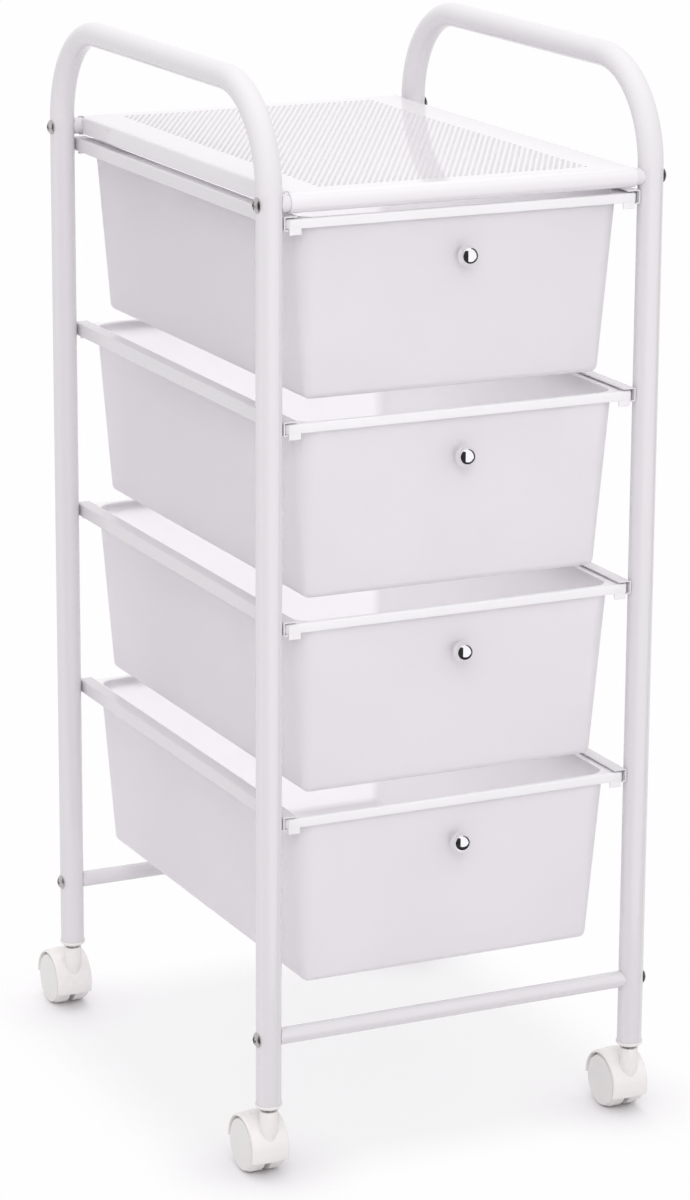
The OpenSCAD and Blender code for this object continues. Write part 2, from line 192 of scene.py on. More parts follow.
def add_relief(made, scale, strength, distance, gloss=None, spread=25):
    """Noise of a given scale (per metre) raises the surface by up to strength * distance metres,
    and a wider noise lets the roughness run between the two values in gloss."""
    link = made.node_tree.links.new
    shader = made.node_tree.nodes["Principled BSDF"]
    where = add_node(made, "TexCoord")
    fine = add_node(made, "TexNoise", Scale=scale, Detail=2.0)
    bump = add_node(made, "Bump", Strength=strength, Distance=distance)
    link(where.outputs["Object"], fine.inputs["Vector"])
    link(fine.outputs["Fac"], bump.inputs["Height"])
    link(bump.outputs["Normal"], shader.inputs["Normal"])
    if gloss:
        wide = add_node(made, "TexNoise", Scale=spread, Detail=3.0)
        limits = add_node(made, "MapRange", From_Min=0.3, From_Max=0.7,
                          To_Min=gloss[0], To_Max=gloss[1])
        link(where.outputs["Object"], wide.inputs["Vector"])
        link(wide.outputs["Fac"], limits.inputs["Value"])
        link(limits.outputs["Result"], shader.inputs["Roughness"])
    return where, bump


print("noise reads object coordinates, so a scale of 500 has grains about 2 mm apart")

# %% [markdown]
# The numbers below are the paint's own colour, and then its relief: how fine, how strong and how
# high, and between which values its roughness runs. The shelf's coat is smoother than the tubes', and
# it mirrors the handles. The wheels are duller than the hoods above them.

# %% Powder coat, chrome, nickel and caster plastic
powder = finish("powder_coat", (0.715, 0.695, 0.72), 0.16)
add_relief(powder, 500, 0.06, 0.0002, (0.07, 0.13))
sheet_coat = finish("sheet_coat", (0.77, 0.75, 0.775), 0.05)
add_relief(sheet_coat, 500, 0.015, 0.0002, (0.02, 0.05))
chrome = finish("chrome", (0.95, 0.94, 0.95), 0.04, 1.0)
add_relief(chrome, 900, 0.02, 0.0001, (0.02, 0.07), 120)
nickel = finish("nickel_steel", (0.5, 0.49, 0.48), 0.3, 1.0)
add_relief(nickel, 2500, 0.1, 0.0001, (0.22, 0.38), 300)
cream = finish("caster_plastic", (0.84, 0.81, 0.8), 0.3)
add_relief(cream, 1200, 0.05, 0.0001, (0.26, 0.34), 90)
wheel_plastic = finish("wheel_plastic", (0.8, 0.785, 0.775), 0.4)
add_relief(wheel_plastic, 900, 0.08, 0.0001, (0.36, 0.46), 120)
print([made.name for made in bpy.data.materials])

# %% [markdown]
# Frosted polypropylene lets about half of the light through and scatters all of it, so a drawer
# glows from the light behind it. A translucent shader beside the plain one does that. The wall's
# outside is faintly grained, from the spark-eroded mould, and its colour clouds a little. Less
# light gets through the thick rim than through a wall, and more through the rear wall than through
# the others: each point of a drawer carries that share as "clear".

# %% Frosted plastic
frosted = finish("frosted_plastic", (0.94, 0.93, 0.94), 0.4, IOR=1.49)
where, bump = add_relief(frosted, 1600, 0.25, 0.0002, (0.34, 0.46), 40)
link = frosted.node_tree.links.new
through = add_node(frosted, "BsdfTranslucent")
cloud = add_node(frosted, "TexNoise", Scale=14.0, Detail=3.0)
tint = add_node(frosted, "Mix", [(6, (0.93, 0.92, 0.935, 1)), (7, (0.97, 0.96, 0.97, 1))])
tint.data_type = "RGBA"
blend, share = add_node(frosted, "MixShader"), add_node(frosted, "Attribute")
share.attribute_name = "clear"
link(share.outputs["Fac"], blend.inputs[0])
link(where.outputs["Object"], cloud.inputs["Vector"])
link(cloud.outputs["Fac"], tint.inputs[0])
link(tint.outputs[2], frosted.node_tree.nodes["Principled BSDF"].inputs["Base Color"])
link(tint.outputs[2], through.inputs["Color"])
link(bump.outputs["Normal"], through.inputs["Normal"])
link(frosted.node_tree.nodes["Principled BSDF"].outputs[0], blend.inputs[1])
link(through.outputs[0], blend.inputs[2])
link(blend.outputs[0], frosted.node_tree.nodes["Material Output"].inputs["Surface"])
print(len(frosted.node_tree.nodes), "nodes in the frosted plastic")

# %% [markdown]
# Rails, inserts, stems, axles and knob screws have the right shape in the measured model, so they
# stay and only get a finish. The model's record says what each piece is made of.

# %% Finishes of the model's own pieces
FINISH_OF = {"powder_coat": powder, "steel": nickel, "frosted_plastic": frosted, "chrome": chrome,
             "caster_plastic": cream}
slot_of = {part["node"]: part["material_slot"] for part in frame["record"]["subparts"]}
for name, made in nodes.items():
    made.data.materials.clear()
    made.data.materials.append(FINISH_OF[slot_of[name]])
print(len(bpy.data.materials), "materials")

# %% [markdown]
# Side frames. Each is one 19 mm tube bent twice to an arch. The tube's centre line is known exactly:
# straight, a quarter circle, straight, a quarter circle, straight. At each point a circle is drawn
# square to that line, from the X direction and the direction that points out of the bend.

# %% Side frames
STEPS = 25                                     # points along each bend
quarter = np.linspace(0, np.pi / 2, STEPS)
outward = np.concatenate([[np.pi], np.pi - quarter, np.pi / 2 - quarter, [0]])
bend_y = np.where(np.arange(len(outward)) <= STEPS, BEND_R - LEG_Y, LEG_Y - BEND_R)
line_y = bend_y + BEND_R * np.cos(outward)
line_z = HANDLE_Z - BEND_R + BEND_R * np.sin(outward)
line_z[[0, -1]] = TUBE_END_Z


def tube_rings(x, radius, n=56):
    """Circles round the bent centre line: centre + radius * (cos a * X + sin a * outward)."""
    a = np.linspace(0, 2 * np.pi, n, endpoint=False)
    out = radius * np.sin(a)[None]
    grid = np.empty((len(outward), n, 3))
    grid[..., 0] = x + radius * np.cos(a)
    grid[..., 1] = line_y[:, None] + out * np.cos(outward)[:, None]
    grid[..., 2] = line_z[:, None] + out * np.sin(outward)[:, None]
    return grid


for side, x in (("left", -LEG_X), ("right", LEG_X)):
    rings = np.concatenate([tube_rings(x, TUBE_R), tube_rings(x, TUBE_R - TUBE_WALL)[::-1]])
    piece(f"side_tube_{side}", [shell(rings, wrap_u=True)], powder, "frame", [f"side_frame_{side}"])
print("handle top at", round(float(line_z.max() + TUBE_R), 1), "mm")

# %% [markdown]
# The shelf is a steel sheet with round holes in staggered rows, 4.85 mm apart. Each hole sits in
# a cell of the sheet with six corners: four at its ends and two where the neighbouring row's cells
# meet it. Faces join the hole's twelve corners to those six, above, below and through the sheet.
# Numpy makes one cell and adds every hole's centre to it, so no loop runs over thousands of holes.

# %% The perforated sheet
HOLE_STEP, HOLE_R, ROWS, COLUMNS, SHEET = 4.85, 1.5, 86, 45, 0.8
ROW = HOLE_STEP * math.sin(math.pi / 3)
FOLD_R = 1.6
FLAT_X = SHELF_X - SHEET / 2 - FOLD_R


def hole_cells(first, last):
    """Flat corners (cells, 18, 2) of rows first to last: 12 round each hole, 6 round its cell."""
    row = np.repeat(np.arange(first, last), COLUMNS)
    column = np.tile(np.arange(COLUMNS), last - first)
    keep = (row % 2 == 0) | (column < COLUMNS - 1)
    x = (column + 0.5 * (row % 2) - (COLUMNS - 1) / 2)[keep] * HOLE_STEP
    y = (row - (ROWS - 1) / 2)[keep] * ROW
    a = np.radians(30 * np.arange(12) - 150)
    hole = np.column_stack([np.cos(a), np.sin(a)]) * HOLE_R
    cell = np.array([[-1, -1], [0, -1], [1, -1], [1, 1], [0, 1], [-1, 1]]) * [HOLE_STEP / 2, ROW / 2]
    return np.stack([x, y], -1)[:, None] + np.concatenate([hole, cell])[None]


def margins(first, last):
    """Outlines of the plain strips beside rows first to last, and of the bands before and behind."""
    step = HOLE_STEP / 2
    row_y = (np.arange(first, last + 1) - ROWS / 2) * ROW
    strips = []
    for j, (low, high) in enumerate(zip(row_y[:-1], row_y[1:])):
        near = (COLUMNS - (first + j) % 2) * step
        inner = sorted({near, COLUMNS * step})
        outer = [(FLAT_X, low), (FLAT_X, high)]
        strip = [(x, low) for x in inner] + outer + [(x, high) for x in inner[::-1]]
        strips += [strip, [(-x, y) for x, y in strip[::-1]]]
    for edge, at, on in ((-LEG_Y, row_y[0], first == 0), (LEG_Y, row_y[-1], last == ROWS)):
        if on:
            seam = [(x * step, at) for x in range(-COLUMNS, COLUMNS + 1)]
            band = [(-FLAT_X, at), (-FLAT_X, edge), (FLAT_X, edge), (FLAT_X, at)] + seam[::-1]
            strips.append(band if edge < at else band[::-1])
    return strips


print(len(hole_cells(0, ROWS)), "holes in", ROWS, "rows")

# %% [markdown]
# Cells and margins are flat outlines so far. Corners that fall on one spot are merged, the faces are
# repeated for the sheet's underside, and every edge that has a face on one side only, round a hole or
# round the sheet, gets a wall. One mesh would pass 200,000 triangles as four-sided faces are split, so
# the sheet is made as a front half and a rear half that meet in the middle.

# %% The welded sheet
def perforated(first, last):
    """Both faces of the sheet, the walls of its holes and its outer edge, welded to one shell."""
    flat = hole_cells(first, last)
    base = np.arange(len(flat))[:, None, None] * 18
    k = np.arange(6)
    fans = np.column_stack([12 + k, 12 + (k + 1) % 6, (2 * k + 2) % 12, 2 * k + 1, 2 * k])[None] + base
    k = np.arange(12)
    walls = np.column_stack([k, (k + 1) % 12])[None] + base
    strips = margins(first, last)
    count = len(flat) * 18
    plain = []
    for strip in strips:
        plain.append(list(range(count, count + len(strip))))
        count += len(strip)
    corners = np.concatenate([flat.reshape(-1, 2)] + [np.array(strip) for strip in strips])
    merged, weld = np.unique(np.round(corners, 4), axis=0, return_inverse=True)
    weld = weld.ravel()
    top = [weld[face].tolist() for face in [*fans.reshape(-1, 5), *plain]]
    half = len(merged)
    bottom = [[i + half for i in face[::-1]] for face in top]
    ring = weld[walls.reshape(-1, 2)]
    sides = np.column_stack([ring, ring[:, ::-1] + half]).tolist()
    edges = np.concatenate([np.column_stack([face, np.roll(face, -1)]) for face in map(np.array, top)])
    key = edges[:, 0] * (half + 1) + edges[:, 1]
    back = edges[:, 1] * (half + 1) + edges[:, 0]
    rim_key = ring[:, 0] * (half + 1) + ring[:, 1]
    open_edge = edges[~np.isin(key, back) & ~np.isin(back, rim_key)]
    sides += np.column_stack([open_edge[:, ::-1], open_edge + half]).tolist()
    points = np.concatenate([np.column_stack([merged, np.full(half, z)])
                             for z in (SHELF_Z, SHELF_Z - SHEET)])
    return points, top + bottom + sides


HALF = ROWS // 2
front_half = piece("shelf_front_half", [perforated(0, HALF)], sheet_coat, "frame", ["shelf_panel"])
rear_half = piece("shelf_rear_half", [perforated(HALF, ROWS)], sheet_coat, "frame")
print(len(front_half.data.polygons) + len(rear_half.data.polygons), "faces in the sheet")

# %% [markdown]
# The sheet's long edges are folded down and its ends are rolled round the rails. A folded sheet is
# a line of its middle, with an arc at each fold, and two copies of it half a thickness to each side.

# %% Folded and rolled sheet
def fold_line(corners, radius, n=7):
    """A polyline with each inner corner replaced by an arc that touches both of its sides. The arc's
    centre lies radius / sin(half the corner's angle) from the corner, on its middle line."""
    corners = np.asarray(corners, float)
    line = [corners[:1]]
    for before, at, after in zip(corners[:-2], corners[1:-1], corners[2:]):
        u = (before - at) / np.linalg.norm(before - at)
        v = (after - at) / np.linalg.norm(after - at)
        half = math.acos(np.dot(u, v)) / 2
        centre = at + (u + v) / np.linalg.norm(u + v) * radius / math.sin(half)
        start = at + u * radius / math.tan(half) - centre
        end = at + v * radius / math.tan(half) - centre
        t = np.linspace(0, 1, n)[:, None]
        gap = math.acos(np.clip(np.dot(start, end) / radius ** 2, -1, 1))
        line.append(centre + (np.sin((1 - t) * gap) * start + np.sin(t * gap) * end) / math.sin(gap))
    return np.concatenate(line + [corners[-1:]])


def sheet_outline(line, thickness):
    """The closed outline of a sheet: its middle line moved half a thickness to each side."""
    along = np.gradient(line, axis=0)
    along /= np.linalg.norm(along, axis=1)[:, None]
    off = np.column_stack([-along[:, 1], along[:, 0]]) * thickness / 2
    return np.concatenate([line + off, (line - off)[::-1]])


def along_y(outline, low, high):
    """An outline of (x, z) points carried from y = low to y = high."""
    grid = np.empty((2, len(outline), 3))
    grid[..., 0], grid[..., 2] = outline[:, 0], outline[:, 1]
    grid[0, :, 1], grid[1, :, 1] = low, high
    return shell(grid)


def mirrored(part):
    """The same shell on the other side of the cart: x changes sign and each face is turned round."""
    points, faces = part
    return points * [-1, 1, 1], [face[::-1] for face in faces]


bent = fold_line([(9, 0), (0, 0), (0, 9)], FOLD_R)
print("a right angle becomes a line of", len(bent), "points")

# %% Rolled ends and side flanges
RAIL_GAP, FLANGE_H, LEG_GAP = 0.2, 13.0, 6.8   # round the rail, down the side, from leg axis to flange


def rolled_end(sign):
    """The sheet's end, from the flat over the front of the rail to below: two arcs about the rail."""
    a = np.radians(np.linspace(90, 335, 44))
    rings = [np.column_stack([radius * np.cos(a), radius * np.sin(a)])
             for radius in (RAIL_R + RAIL_GAP + SHEET, RAIL_R + RAIL_GAP)]
    outline = np.concatenate([rings[0], rings[1][::-1]])
    grid = np.empty((2, len(outline), 3))
    grid[..., 1] = sign * (LEG_Y - outline[:, 0])
    grid[..., 2] = outline[:, 1] + RAIL_Z
    grid[0, :, 0], grid[1, :, 0] = -SHELF_X, SHELF_X
    return shell(grid)


flange = fold_line([(FLAT_X - 0.5, SHELF_Z - SHEET / 2), (SHELF_X - SHEET / 2, SHELF_Z - SHEET / 2),
                    (SHELF_X - SHEET / 2, SHELF_Z - FLANGE_H)], FOLD_R)
flange = along_y(sheet_outline(flange, SHEET), LEG_GAP - LEG_Y, LEG_Y - LEG_GAP)
piece("shelf_edges", [flange, mirrored(flange), rolled_end(-1), rolled_end(1)], sheet_coat, "frame")
print("the flanges hang", FLANGE_H, "mm down and the ends turn", 335 - 90, "degrees")

# %% [markdown]
# Runners. Eight strips of folded steel carry the drawers: an upright back, a wide upper flange and a
# short lip below, on which the drawer's rim slides. They are welded to the legs by short studs.

# %% Runners
STRIP, LIP, WELD_GAP = 1.0, 3.4, 0.5           # thickness, lower lip, distance from the leg
RUNNER_X = LEG_X - TUBE_R - WELD_GAP
for level in (1, 2, 3, 4):
    low, high = measure(f"runner_right_{level}")
    top, bottom, back = high[2] - STRIP / 2, low[2] + STRIP / 2, RUNNER_X - STRIP / 2
    line = fold_line([(RUNNER_X - LIP, bottom), (back, bottom), (back, top), (low[0], top)], 1.0)
    strip = along_y(sheet_outline(line, STRIP), low[1], high[1])
    for side, part in (("right", strip), ("left", mirrored(strip))):
        piece(f"runner_{side}_{level}_folded", [part], powder, "frame", [f"runner_{side}_{level}"])
print("runners", round(high[2] - low[2], 1), "mm high and", round(high[1] - low[1]), "mm long")

# %% [markdown]
# Drawers. Each is one injection-moulded tub of frosted polypropylene: thin walls that lean in
# towards the floor so that it leaves its mould, round corners, and a flat rim with a short skirt.
# One line runs from the middle of the floor inside, up over the rim and down to the floor outside.
# At every point of it a rounded rectangle is drawn, so inside, rim and outside are one surface.

# %% Drawers
drawer_low, drawer_high = measure("drawer_1")
RIM_X, RIM_Y = drawer_high[:2]
DRAWER_H, RIM_H, WALL = drawer_high[2] - drawer_low[2], 7.0, 1.8
TOP_X, TOP_Y = RIM_X - 10.9, RIM_Y - 3.0       # the wall's top, behind the rim's edge
LUG_H, REAR_WALL = 4.5, 155                    # lug below the rim, and where the rear wall starts
CORNER_R, FLOOR_R, TAPER = 16.0, 6.0, 10.5
FLOOR_IN = TAPER + FLOOR_R


def rounded_rings(half_x, half_y, radius, z, n=10):
    """One rounded rectangle per height: corner centre + radius * (cos a, sin a) in each quarter."""
    a = np.linspace(0, np.pi / 2, n)[None] + np.arange(4)[:, None] * np.pi / 2
    sign_x = np.repeat([1, -1, -1, 1], n)
    sign_y = np.repeat([1, 1, -1, -1], n)
    half_x, half_y, radius, z = (np.asarray(v, float)[:, None] for v in (half_x, half_y, radius, z))
    x = sign_x * (half_x - radius) + radius * np.cos(a.ravel())
    y = sign_y * (half_y - radius) + radius * np.sin(a.ravel())
    return np.stack([x, y, np.broadcast_to(z, x.shape)], -1)


def wall_line(inset):
    """Wall and floor edge, from the rim down, as (distance in from the wall's top, z, corner radius).
    The wall is the straight line that touches the floor edge's arc."""
    radius = FLOOR_R - inset
    to_top = np.array([FLOOR_IN - inset, DRAWER_H - FLOOR_R - WALL])
    touch = math.atan2(to_top[1], to_top[0]) - math.acos(radius / np.hypot(*to_top))
    a = np.linspace(touch, -np.pi / 2, 12)
    arc = np.column_stack([FLOOR_IN - radius * np.cos(a), FLOOR_R - DRAWER_H + radius * np.sin(a),
                           np.maximum(radius * np.cos(a), 0.3)])
    t = np.linspace(0, 1, 5)[:, None]
    top = np.array([[inset, -WALL, CORNER_R - inset]])
    return np.concatenate([top + (arc[:1] - top) * t, arc[1:]])


def edge_arc(x_off, y_off, z, radius, start, end, n=5):
    """A rounded edge, as offsets: centre + radius * (cos a, sin a) between two angles in degrees."""
    a = np.radians(np.linspace(start, end, n))
    out = radius * np.cos(a)
    return np.column_stack([x_off + out, y_off + out, z + radius * np.sin(a)])


print("a drawer is", round(DRAWER_H, 1), "mm high and its walls lean in", TAPER, "mm")

# %% [markdown]
# The rim is an eave: its edges are arcs, its skirt hangs down outside, and its underside leads back
# to the wall. Four lugs under its corners keep the drawer straight between its runners.

# %% Rim, lugs and the finished drawers
inner, outer = wall_line(WALL)[::-1], wall_line(0)
rim = np.concatenate([
    np.column_stack([edge_arc(TOP_X - 1.0, TOP_Y - 1.0, -0.8, 0.8, 180, 90), np.full(5, 14.6)]),
    np.column_stack([edge_arc(RIM_X - 1.2, RIM_Y - 1.2, -1.2, 1.2, 90, 0), np.full(5, 5.0)]),
    np.column_stack([edge_arc(RIM_X - 0.5, RIM_Y - 0.5, 0.5 - RIM_H, 0.5, 0, -90), np.full(5, 4.8)]),
    np.column_stack([edge_arc(RIM_X - 1.3, RIM_Y - 1.3, 0.5 - RIM_H, 0.5, -90, -180), np.full(5, 3.4)]),
    [[RIM_X - 1.8, RIM_Y - 1.8, -2.4, 3.2], [RIM_X - 2.4, RIM_Y - 2.4, -1.8, 3.0],
     [TOP_X + 1.4, TOP_Y + 1.0, -1.8, 15.5]]])
stations = np.concatenate([
    np.column_stack([TOP_X - inner[:, 0], TOP_Y - inner[:, 0], inner[:, 1], inner[:, 2]]), rim,
    np.column_stack([TOP_X - outer[:, 0], TOP_Y - outer[:, 0], outer[:, 1], outer[:, 2]])])
tub_grid = rounded_rings(stations[:, 0], stations[:, 1], stations[:, 3], stations[:, 2])
lug = rounded_rings([4.75, 4.75, 4.3], [0.9, 0.9, 0.6], [0.5, 0.5, 0.3],
                    [-1.0, 0.4 - RIM_H - LUG_H, -RIM_H - LUG_H], 4)
lugs = [shell(lug + [sx * (RIM_X - 7.15), sy * (RIM_Y - 0.95), 0]) for sx in (-1, 1) for sy in (-1, 1)]
tub = shell(tub_grid)
lit_from_behind = bpy.data.collections.new("lit_from_behind")
for level, rim_z in enumerate(RIM_Z, 1):
    parts = [(points + [0, 0, rim_z], faces) for points, faces in [tub] + lugs]
    made = piece(f"drawer_tub_{level}", parts, frosted, f"drawer_body_{level}", [f"drawer_{level}"])
    lit_from_behind.objects.link(made)
    z = np.concatenate([points[:, 2] for points, _ in parts]) - rim_z
    x, y = np.concatenate([points[:, :2] for points, _ in parts]).T
    thick = (np.abs(x) > TOP_X + 0.5) | (np.abs(y) > TOP_Y + 0.5) | (z > -1.0)
    clear = np.where(thick, 0.2, np.where(y > REAR_WALL, 0.85, 0.6))
    made.data.attributes.new("clear", "FLOAT", "POINT").data.foreach_set("value", clear)
print(len(made.data.polygons), "faces in a drawer")

# %% [markdown]
# Knobs. A knob is turned on a lathe, so its shape is a profile spun about its axis: a flared foot, a
# short neck and a ball. The drawer's front leans, and the knob stands square to it.

# %% Knobs
drop = DRAWER_H - WALL - FLOOR_R
LEAN = math.atan(FLOOR_IN / drop) - math.asin(FLOOR_R / math.hypot(FLOOR_IN, drop))
KNOB_DROP, NECK, BALL_R = 34, 3.0, 7.75        # below the rim, the neck's length, the ball
WALL_Y = TOP_Y - (KNOB_DROP - WALL) * math.tan(LEAN)


def spun(profile, n=48):
    """A profile of (radius, height) turned about the Z axis: (r cos a, r sin a, h)."""
    a = np.linspace(0, 2 * np.pi, n, endpoint=False)
    radius, height = np.asarray(profile, float).T
    x, y = radius[:, None] * np.cos(a), radius[:, None] * np.sin(a)
    return np.stack([x, y, np.broadcast_to(height[:, None], x.shape)], -1)


ball = np.radians(np.linspace(-57, 89, 26))
knob_profile = np.concatenate([
    [[3.95, 0.1], [4.0, 0.4], [3.9, 0.9], [3.72, 1.6], [3.72, 2.6], [3.9, 3.4]],
    np.column_stack([BALL_R * np.cos(ball), NECK + BALL_R + BALL_R * np.sin(ball)])])
knob_grid = spun(knob_profile)
out_dir = np.array([0, -math.cos(LEAN), -math.sin(LEAN)])
side_dir = np.array([0, -math.sin(LEAN), math.cos(LEAN)])
for level, rim_z in enumerate(RIM_Z, 1):
    foot = np.array([0, -WALL_Y, rim_z - KNOB_DROP])
    grid = (foot + knob_grid[..., :1] * [1, 0, 0] + knob_grid[..., 1:2] * side_dir
            + knob_grid[..., 2:] * out_dir)
    piece(f"ball_knob_{level}", [shell(grid)], chrome, f"drawer_body_{level}", [f"knob_{level}"])
print("the drawer's front leans", round(math.degrees(LEAN), 2), "degrees")

# %% [markdown]
# Casters. A wheel is spun like a knob: bore, inner face, tread, sloping shoulder and the outer face,
# whose middle lies a little deeper than its edge. The model's wheel is a plainer disc, and the spun
# one lies in its box.

# %% Wheels
TREAD_R, BORE_R, CAP = 21.0, 2.58, 0.05        # a tiny radius closes the disc at its middle
FACE_BACK, FACE_R = 0.3, 19.2                  # how far the face lies inside the box, and its radius
SHOULDER, SLOPE = 4.4, 1.4                     # from the shoulder's start to the face, and its slope
turn_in, turn_out = np.radians(np.linspace(-90, 0, 5)), np.radians(np.linspace(0, 60, 7))
CORNERS = ("fl", "fr", "rl", "rr")             # front left, front right, rear left, rear right
for corner in CORNERS:
    for side, sign in (("left", -1), ("right", 1)):
        low, high = measure(f"wheel_{corner}_{side}")
        middle, width = (low + high) / 2, high[0] - low[0] - FACE_BACK
        wheel_profile = np.concatenate([
            [[CAP, 0.75 * width], [BORE_R, 0.75 * width], [BORE_R, 0.3], [BORE_R + 0.3, 0]],
            np.column_stack([TREAD_R - 0.6 + 0.6 * np.cos(turn_in), 0.6 + 0.6 * np.sin(turn_in)]),
            np.column_stack([TREAD_R - 1 + np.cos(turn_out),
                             width - SHOULDER + SLOPE * np.sin(turn_out)]),
            [[FACE_R + 0.35, width - 0.6], [FACE_R + 0.15, width - 0.15], [FACE_R - 0.3, width - 0.02],
             [18, width], [12, width - 0.05], [5, width - 0.1], [CAP, width - 0.1]]])
        grid = spun(wheel_profile, 64)
        web_side = high[0] if sign < 0 else low[0]
        grid = np.stack([web_side + sign * grid[..., 2], middle[1] + grid[..., 0],
                         middle[2] + grid[..., 1]], -1)
        piece(f"caster_wheel_{corner}_{side}", [shell(grid)], wheel_plastic, f"roller_{corner}_{side}",
              [f"wheel_{corner}_{side}"])
print("a wheel is", round(width, 1), "mm wide up to its face")

# %% [markdown]
# Hoods and sockets are mouldings and the screws are pressed, so none of their edges is sharp. A
# welded copy of each gets a small bevel along every edge that turns more than 30 degrees.

# %% Softened mouldings
BEVEL_FROM = math.radians(30)


def softened(name, node, made_of, body, width):
    """A copy of a piece of the model, with its doubled points merged, whose edges get a bevel of a
    width in metres."""
    mesh = nodes[node].data.copy()
    work = bmesh.new()
    work.from_mesh(mesh)
    bmesh.ops.remove_doubles(work, verts=work.verts, dist=1e-5)
    work.to_mesh(mesh)
    work.free()
    mesh.shade_smooth()
    mesh.materials.clear()
    mesh.materials.append(made_of)
    made = bpy.data.objects.new(name, mesh)
    bpy.context.scene.collection.objects.link(made)
    edges = made.modifiers.new("edges", "BEVEL")
    edges.width, edges.segments, edges.angle_limit = width, 2, BEVEL_FROM
    edges.harden_normals = True
    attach(made, body)
    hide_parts(node)
    return made


for corner in CORNERS:
    softened(f"caster_hood_{corner}", f"hood_{corner}", cream, f"swivel_{corner}", 0.0003)
    softened(f"caster_socket_{corner}", f"socket_{corner}", cream, "frame", 0.0002)
softened("dome_screws", "frame_screws", nickel, "frame", 0.00015)

# %% [markdown]
# Light. The cart stands in soft light from all round, on a white ground. The world lights the cart
# evenly. The camera and mirrors see it as white, and they see the floor as white too, except under
# and near the cart. There the white is dimmed a little, a painted pool of shade, and a little of the
# real floor is left to show its shadow. Where something stands close over the floor, as a wheel does,
# ambient occlusion holds the white back further, and the shadow is dark: partly real, partly painted.

# %% Floor
def seen_directly(made):
    """1 for rays from the camera, mirrors and clear pieces, and 0 for light that is scattered."""
    rays = add_node(made, "LightPath")
    either, any_of = add_node(made, "Math"), add_node(made, "Math")
    either.operation = any_of.operation = "MAXIMUM"
    link = made.node_tree.links.new
    link(rays.outputs["Is Camera Ray"], either.inputs[0])
    link(rays.outputs["Is Glossy Ray"], either.inputs[1])
    link(either.outputs[0], any_of.inputs[0])
    link(rays.outputs["Is Transmission Ray"], any_of.inputs[1])
    return any_of.outputs[0]


FOOTPRINT, FADE = (0.15, 0.165, 0), 0.087      # half the field of painted shade and its soft edge, in metres
ground = bpy.data.meshes.new("floor")
ground.from_pydata([(-8, -6, 0), (8, -6, 0), (8, 14, 0), (-8, 14, 0)], [], [(0, 1, 2, 3)])
floor = bpy.data.objects.new("floor", ground)
bpy.context.scene.collection.objects.link(floor)
lit_from_behind.objects.link(floor)
paint = finish("floor_paint", (0.8, 0.785, 0.8), 0.6)
ground.materials.append(paint)
where, folded = add_node(paint, "TexCoord"), add_node(paint, "VectorMath")
folded.operation = "ABSOLUTE"
beyond = add_node(paint, "VectorMath", [(1, FOOTPRINT)])
beyond.operation = "SUBTRACT"
outside = add_node(paint, "VectorMath", [(1, (0, 0, 0))])
outside.operation = "MAXIMUM"
away = add_node(paint, "VectorMath")
away.operation = "LENGTH"
# painted shade: under the cart the white that the camera sees is dimmed to 0.88 ** 0.57, about 0.93,
# and only 0.88 of it is kept, so a little real floor shadow shows
fade = add_node(paint, "MapRange", From_Min=0.0, From_Max=FADE, To_Min=0.88, To_Max=1.0)
fade.interpolation_type = "SMOOTHSTEP"
share, blend = add_node(paint, "Math"), add_node(paint, "MixShader")
# painted contact shadow: near the wheels ambient occlusion, raised to the power 3.5, holds back the
# white, so the darker real floor shows; the shadow is partly real and partly painted by this mask
open_sky, close_by = add_node(paint, "AmbientOcclusion", Distance=0.07), add_node(paint, "Math")
open_sky.samples = 8
share.operation = close_by.operation = "MULTIPLY"
painted_contact_shadow, painted_shade_pool = add_node(paint, "Math", [(1, 3.5)]), add_node(paint, "Math", [(1, 0.57)])
painted_contact_shadow.operation = painted_shade_pool.operation = "POWER"
white = add_node(paint, "Emission", Color=(1, 0.99, 1, 1))
link = paint.node_tree.links.new
for first, then in ((where, folded), (folded, beyond), (beyond, outside), (outside, away)):
    link(first.outputs["Object" if first is where else "Vector"], then.inputs[0])
link(away.outputs["Value"], fade.inputs["Value"])
link(fade.outputs["Result"], close_by.inputs[0])
link(fade.outputs["Result"], painted_shade_pool.inputs[0])
link(painted_shade_pool.outputs[0], white.inputs["Strength"])
link(open_sky.outputs["AO"], painted_contact_shadow.inputs[0])
link(painted_contact_shadow.outputs[0], close_by.inputs[1])
link(close_by.outputs[0], share.inputs[0])
link(seen_directly(paint), share.inputs[1])
link(share.outputs[0], blend.inputs[0])
link(paint.node_tree.nodes["Principled BSDF"].outputs[0], blend.inputs[1])
link(white.outputs[0], blend.inputs[2])
link(blend.outputs[0], paint.node_tree.nodes["Material Output"].inputs["Surface"])
print(len(paint.node_tree.nodes), "nodes in the floor's paint")

# %% [markdown]
# The world is the soft light from all round. Scattered light meets it a little below white, so that
# pale surfaces don't clip, and the camera and mirrors see it as white as the floor.

# %% World
world = bpy.data.worlds.new("studio")
bpy.context.scene.world = world
world.use_nodes = True
soft = world.node_tree.nodes["Background"]
soft.inputs["Color"].default_value = (1, 1, 1, 1)
soft.inputs["Strength"].default_value = 0.85
white = add_node(world, "Background", Color=(1, 0.99, 1, 1), Strength=1.0)
choose = add_node(world, "MixShader")
link = world.node_tree.links.new
link(seen_directly(world), choose.inputs[0])
link(soft.outputs[0], choose.inputs[1])
link(white.outputs[0], choose.inputs[2])
link(choose.outputs[0], world.node_tree.nodes["World Output"].inputs["Surface"])
print("world strength", round(soft.inputs["Strength"].default_value, 2))

# %% [markdown]
# Three soft lamps give the even light a direction. The key stands before the cart and to its left,
# and the top lamp brightens the shelf and the handles. The one behind shines only on the floor and
# the drawers, and its light comes through their rear walls.

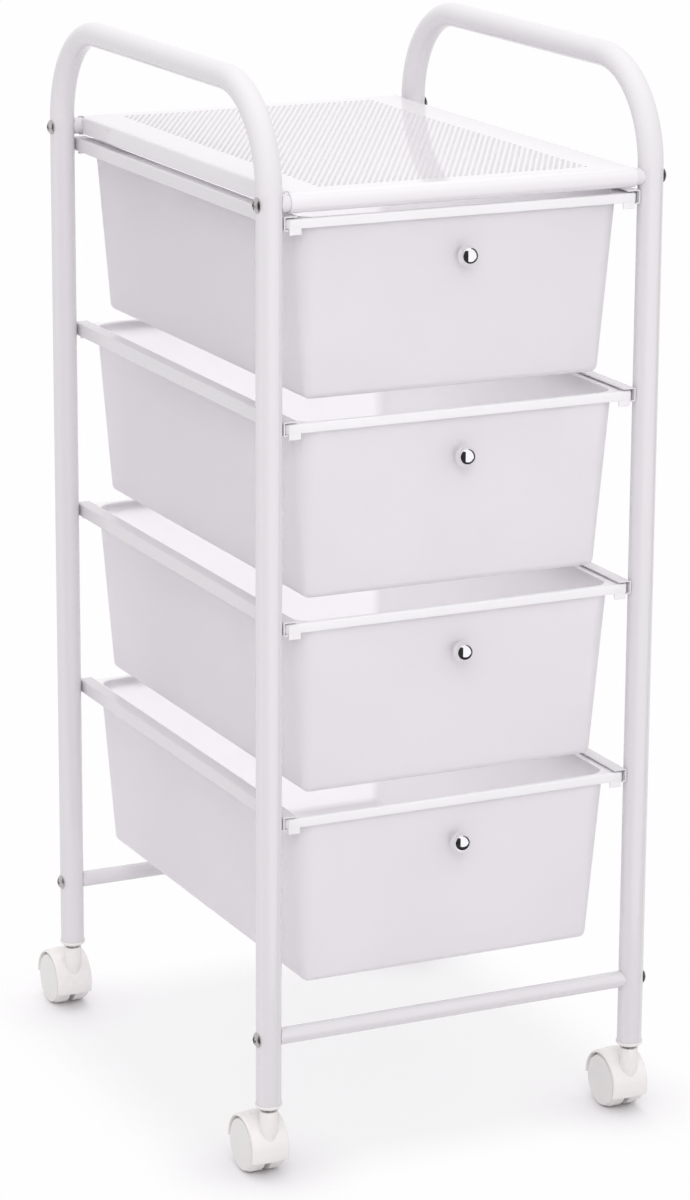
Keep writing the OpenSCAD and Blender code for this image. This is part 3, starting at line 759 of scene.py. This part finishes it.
# %% Lamps
def lamp(name, at, aim, size, watts):
    """A square soft lamp at a point in metres, turned towards another point. Mirrors don't show it."""
    data = bpy.data.lights.new(name, "AREA")
    data.size = size
    data.energy = watts
    made = bpy.data.objects.new(name, data)
    bpy.context.scene.collection.objects.link(made)
    facing = (Vector(aim) - Vector(at)).to_track_quat("-Z", "Y")
    made.matrix_world = Matrix.Translation(at) @ facing.to_matrix().to_4x4()
    made.visible_glossy = False
    return made


MIDDLE = (0, 0, 0.45)
lamp("key", (-0.95, -2.6, 2.3), MIDDLE, 1.6, 32)
lamp("top", (0.2, 0.4, 3.2), (0, 0, 0.5), 1.8, 19)
behind = lamp("behind", (0.3, 2.7, 1.2), MIDDLE, 2.4, 24)
behind.light_linking.receiver_collection = lit_from_behind
print([(light.name, light.energy) for light in bpy.data.lights])

# %% [markdown]
# Chrome looks like chrome only where it mirrors something dark. Photographers stand black cards,
# called flags, beside the camera for that. These cards belong to the studio and not to the cart.
# Only mirrors see them, and only mirrors below the shelf: a mirrored ray that starts higher up passes
# through them, and the shelf and the handles stay white. Its start is the point of the cart that
# mirrors, so the place of the camera has no part in it.

# %% Flags
UNDER_SHELF = 0.7365                           # metres above the floor
black = finish("flag_cloth", (0.015, 0.015, 0.018), 0.9)
at, ray = add_node(black, "NewGeometry"), add_node(black, "LightPath")
start = add_node(black, "VectorMath")
start.operation = "MULTIPLY_ADD"
height, low = add_node(black, "SeparateXYZ"), add_node(black, "Math", [(1, UNDER_SHELF)])
low.operation = "LESS_THAN"
blend, gone = add_node(black, "MixShader"), add_node(black, "BsdfTransparent")
link = black.node_tree.links.new
link(at.outputs["Incoming"], start.inputs[0])
link(ray.outputs["Ray Length"], start.inputs[1])
link(at.outputs["Position"], start.inputs[2])
link(start.outputs[0], height.inputs[0])
link(height.outputs["Z"], low.inputs[0])
link(low.outputs[0], blend.inputs[0])
link(gone.outputs[0], blend.inputs[1])
link(black.node_tree.nodes["Principled BSDF"].outputs[0], blend.inputs[2])
link(blend.outputs[0], black.node_tree.nodes["Material Output"].inputs["Surface"])


def flag(name, corners):
    """A black card through points in metres that only mirrors show."""
    sheet = bpy.data.meshes.new(name)
    sheet.from_pydata(corners, [], [range(len(corners))])
    sheet.materials.append(black)
    made = bpy.data.objects.new(name, sheet)
    bpy.context.scene.collection.objects.link(made)
    made.visible_camera = made.visible_diffuse = made.visible_transmission = made.visible_shadow = False


flag("flag_left", [(-1.0, -2.1, 0), (-2.4, -0.4, 0), (-2.4, -0.4, 4.2), (-1.0, -2.1, 4.2)])
flag("flag_right", [(1.6, -0.85, 0), (1.7, 0.1, 0), (1.7, 0.1, 5), (1.6, -0.85, 5)])
flag("flag_floor", [(x, y, 0.002) for x, y in (
    (-2.4, -0.4), (-0.3, -0.27), (0.45, -0.27), (1.7, -0.2), (1.6, -1.1), (0.3, -0.6), (-0.2, -0.6),
    (-1.0, -2.1))])
print(len(bpy.data.lights), "lamps and three black cards")

# %% [markdown]
# The picture is ready. The last cell counts the faces in all meshes.

# %% Face count
print(sum(len(mesh.polygons) for mesh in bpy.data.meshes), "faces in all meshes")
